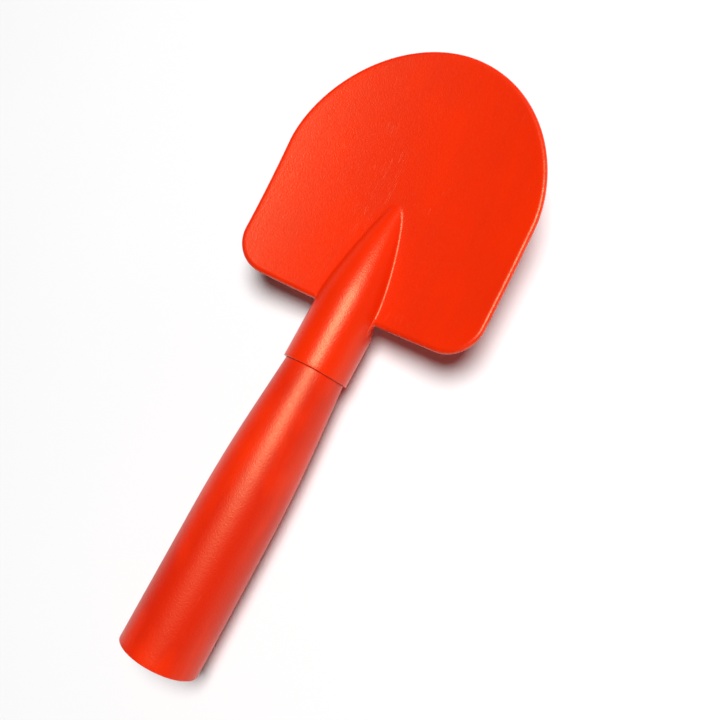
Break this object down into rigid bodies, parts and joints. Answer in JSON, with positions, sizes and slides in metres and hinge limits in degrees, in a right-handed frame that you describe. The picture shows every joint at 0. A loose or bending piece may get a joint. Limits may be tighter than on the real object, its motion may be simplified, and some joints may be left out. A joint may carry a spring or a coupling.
{
  "type": "hand trowel",
  "caption": "Moulded plastic hand trowel: wide dished blade with a socket and fairing, on a tapered hollow handle with a plugged end.",
  "frame": {"origin": "under the middle of the tool, on the surface that the handle's butt rests on", "axes": "+X along the handle to the blade's tip, +Y across the blade, +Z out of the blade's hollow face"},
  "size_m": [0.2352, 0.1026, 0.0306],
  "materials": {
    "blade_plastic": "satin moulded polypropylene, red-orange",
    "handle_plastic": "satin moulded polypropylene, red-orange"
  },
  "bodies": {
    "root": {"blade": "blade_plastic", "handle": "handle_plastic", "end_plug": "handle_plastic"}
  },
  "joints": []
}
